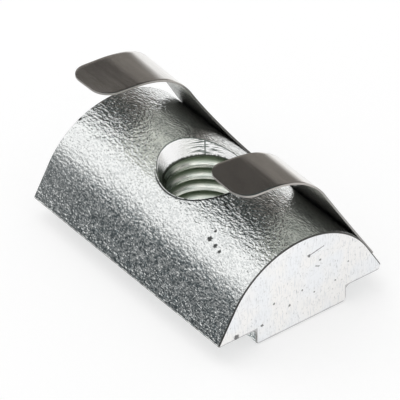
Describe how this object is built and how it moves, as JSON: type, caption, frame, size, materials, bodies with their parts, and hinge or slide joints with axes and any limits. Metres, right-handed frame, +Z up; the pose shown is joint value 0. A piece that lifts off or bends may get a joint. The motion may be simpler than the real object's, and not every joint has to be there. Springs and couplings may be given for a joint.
{
  "type": "t slot nut",
  "caption": "Steel T slot nut with a rounded crown, bearing shoulders, a rib that runs in the slot mouth, a tapped hole and a bent leaf spring that holds it in place.",
  "frame": {"origin": "middle of the rib's bottom face, on the axis of the tapped hole", "axes": "+X along the nut, +Y across the slot towards the spring's leg, +Z up from the rib to the crown"},
  "size_m": [0.0266, 0.0178, 0.0152],
  "materials": {
    "zinc_plated_steel": "bright zinc over a rolled skin, sawn ends",
    "bright_spring_steel": "bright cold-rolled strip"
  },
  "bodies": {
    "root": {"nut_body": "zinc_plated_steel", "leaf_spring": "bright_spring_steel"}
  },
  "joints": []
}
